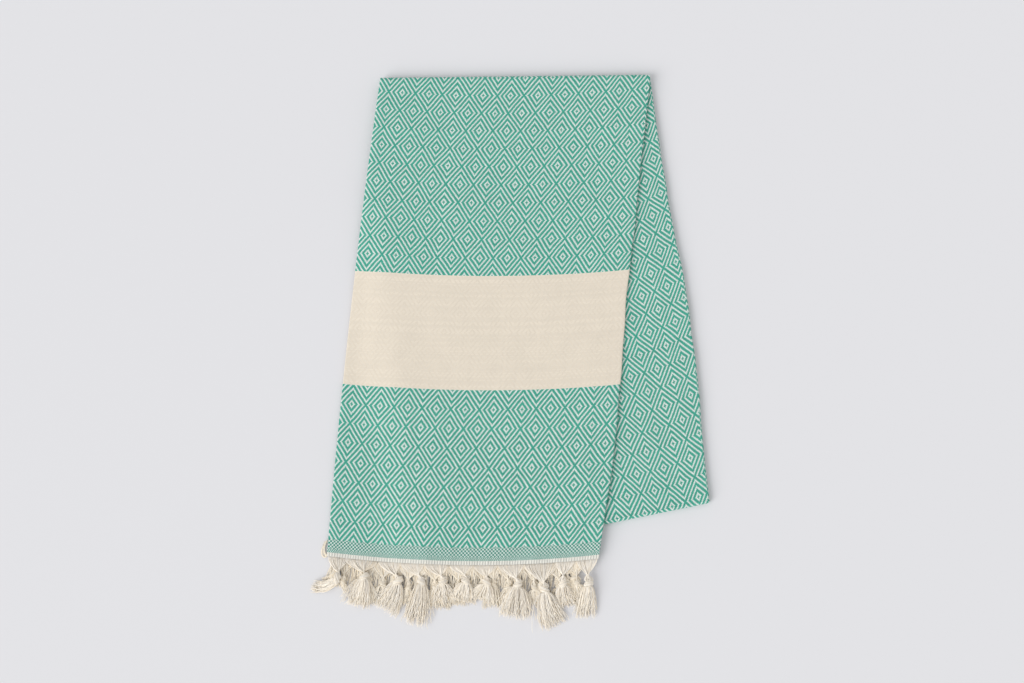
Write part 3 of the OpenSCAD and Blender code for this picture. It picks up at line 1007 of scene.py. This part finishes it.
cloth_material = weave_material("Diamond weave", GREEN, PALE, "diamond", banded=True)
band_material = weave_material("Natural band", NATURAL_WEFT, NATURAL, "diamond", relief=0.45)
border_material = weave_material("Plain border", BORDER_WEFT, BORDER_WARP, "plain")
heading_material = weave_material("Bare warp", HEADING_WARP, HEADING_WARP, "bare")
cotton = cotton_material("Cotton threads", COTTON)
shaded_low_cotton = cotton_material("Lower cotton threads in painted shade", SHADED_LOW_COTTON)


def cloth_piece(name, grids, material, nodes, body):
    """One piece of the cloth; strips too short to be sheets of their own have no flat size."""
    verts, faces, uv = joined([slab(p, t) for p, t in grids])
    obj = new_object(name, verts, faces.tolist(), uv)
    # One piece of the cloth.
    obj.data.set_sharp_from_angle(angle=SHARP)
    obj.data.materials.append(material)
    if nodes:
        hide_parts(*nodes)
    if body:
        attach(obj, body)
    return obj


# widths of the flat plies; the front leaf narrows toward the hem
INNER_W = STRIP_W - INNER_END - TIGHT_IN
UNDER_W = STRIP_W - WIDE_IN - UNDER_END

y_field = HEADING + BORDER
y_band = y_field + FIELD
y_upper = y_band + BAND
ZONES = [
    ("heading_cloth", HEADING, 0.0, heading_material, "cream_warp", ["front_heading"]),
    ("border_cloth", y_field, HEADING, border_material, "plain_border", ["front_plain_border"]),
    ("lower_field_cloth", y_band, y_field, cloth_material, "diamond_cloth", ["front_lower_field"]),
    ("natural_band_cloth", y_upper, y_band, band_material, "natural_band", ["front_natural_band"]),
    (
        "upper_field_cloth", FRONT_LEN, y_upper, cloth_material, "diamond_cloth",
        ["front_upper_field", "front_left_fold", "front_right_fold"],
    ),
]
for piece_name, y_high, y_low, piece_material, piece_slot, piece_nodes in ZONES:
    grid = front_grid("outer", y_high, y_low, FINE, MEDIUM)
    cloth_piece(
        piece_name, [grid], piece_material, piece_nodes, "front_leaf",
    )
for piece_name, ply, width, piece_nodes, rests in (
    ("front_inner_cloth", "inner", INNER_W, ["front_inner_ply"], ["front_under_cloth"]),
    ("front_under_cloth", "under", UNDER_W, ["front_under_ply"], ["middle_upper_cloth", "Floor"]),
):
    grid = front_grid(ply, FRONT_LEN, 0.0, HIDDEN, HIDDEN)
    cloth_piece(
        piece_name, [grid], cloth_material, piece_nodes, "front_leaf",
    )

# The top fold turns the cloth through half a circle between the front leaf and the leaves below
for ply, ply_height in (("outer", OUTER_H), ("inner", INNER_H), ("under", UNDER_H)):
    grid = fold_grid(ply, top_a, top_b, TOP_FOLD_Z, 1, False, top_uv, FINE)
    piece = cloth_piece(
        "top_fold_%s_cloth" % ply, [grid], cloth_material, ["top_fold"],
        None,
    )
    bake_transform(piece)

TOP_V = HINGE_GAP / MIDDLE_LEN
LOW_V = 1 - HINGE_GAP / MIDDLE_LEN
FAR_V = 1 - THIRD_LEN / MIDDLE_LEN
MIDDLE = (MIDDLE_Z, True, TOP_V, 0.0)  # underside, turned over, first row, inset
THIRD = (THIRD_Z, False, FAR_V, THIRD_INSET)
LEAF_PLIES = [
    ("middle_upper_cloth", "under", MIDDLE, ["middle_upper_ply"], ["middle_inner_cloth"]),
    ("middle_inner_cloth", "inner", MIDDLE, ["middle_inner_ply"], ["middle_lower_cloth"]),
    (
        "middle_lower_cloth", "outer", MIDDLE,
        ["middle_lower_ply", "middle_left_fold", "middle_right_fold"], ["third_upper_cloth"],
    ),
    (
        "third_upper_cloth", "outer", THIRD,
        ["third_upper_ply", "third_left_fold", "third_right_fold"], ["third_inner_cloth"],
    ),
    ("third_inner_cloth", "inner", THIRD, ["third_inner_ply"], ["third_bottom_cloth"]),
    ("third_bottom_cloth", "under", THIRD, ["third_bottom_ply"], ["Floor"]),
]
for piece_name, ply, (base, flipped, v_start, inset), piece_nodes, rests in LEAF_PLIES:
    grid = flat_grid(ply, base, flipped, v_start, LOW_V, inset, COARSE)
    cloth_piece(
        piece_name, [grid], cloth_material, piece_nodes, "lower_leaves",
    )

low_grids = []
for ply in ("outer", "inner", "under"):
    low_grids.append(fold_grid(ply, low_a, low_b, LOW_FOLD_Z, -1, True, low_uv, COARSE))
cloth_piece(
    "lower_fold_cloth", low_grids, cloth_material, ["lower_fold"],
    "lower_leaves",
)

# Tassels of the top row; the rows under them go with their leaf
for index, spec in enumerate(TOP_TASSELS):
    number = index + 1
    obj = top_tassel(number, spec)
    obj.data.materials.append(cotton)
    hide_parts("tassel_%02d" % number)
    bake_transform(obj)

# the lower rows and the far fringe take the darker cotton, painted shade for threads under other
# cloth
for obj, node, body in (
    (low_row("inner_fringe_threads", INNER_H, 0.35, 300), "inner_ply_fringe", "front_leaf"),
    (low_row("under_fringe_threads", UNDER_H, 0.75, 240, True), "under_ply_fringe", "front_leaf"),
    (far_fringe(), "far_fringe", "lower_leaves"),
):
    obj.data.materials.append(shaded_low_cotton)
    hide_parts(node)
    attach(obj, body)

# ---- table, light and camera --------------------------------------------------------
bpy.ops.mesh.primitive_plane_add(size=8.0, location=(0.0, 0.0, 0.0))
floor = bpy.context.object
floor.name = "Floor"
floor_graph = Graph("Pale table")
floor_shader = floor_graph.node("ShaderNodeBsdfPrincipled")
floor_shader.inputs["Base Color"].default_value = (*FLOOR, 1.0)
floor_shader.inputs["Roughness"].default_value = 0.7
floor_out = floor_graph.node("ShaderNodeOutputMaterial")
floor_graph.tree.links.new(floor_shader.outputs[0], floor_out.inputs[0])
floor.data.materials.append(floor_graph.material)

# One broad soft light, low from the near left, and an even room
key_data = bpy.data.lights.new("Key", "SUN")
key_data.angle = math.radians(42)
key_data.energy = 1.75
key = bpy.data.objects.new("Key", key_data)
bpy.context.scene.collection.objects.link(key)
key.rotation_euler = (math.radians(57), 0.0, math.radians(-52))

world = bpy.data.worlds.new("Soft room")
world.use_nodes = True
background = world.node_tree.nodes["Background"]
background.inputs[0].default_value = (0.99, 0.99, 1.0, 1.0)
background.inputs[1].default_value = 0.66
bpy.context.scene.world = world
bpy.context.scene.view_settings.view_transform = "Standard"

camera_data = bpy.data.cameras.new("Camera")
camera_data.lens = 50
camera_data.sensor_width = 36
camera = bpy.data.objects.new("Camera", camera_data)
bpy.context.scene.collection.objects.link(camera)
camera.location = (0.001, -0.320, 1.668)
camera.rotation_euler = (math.radians(10.9), 0.0, 0.0)
bpy.context.scene.camera = camera
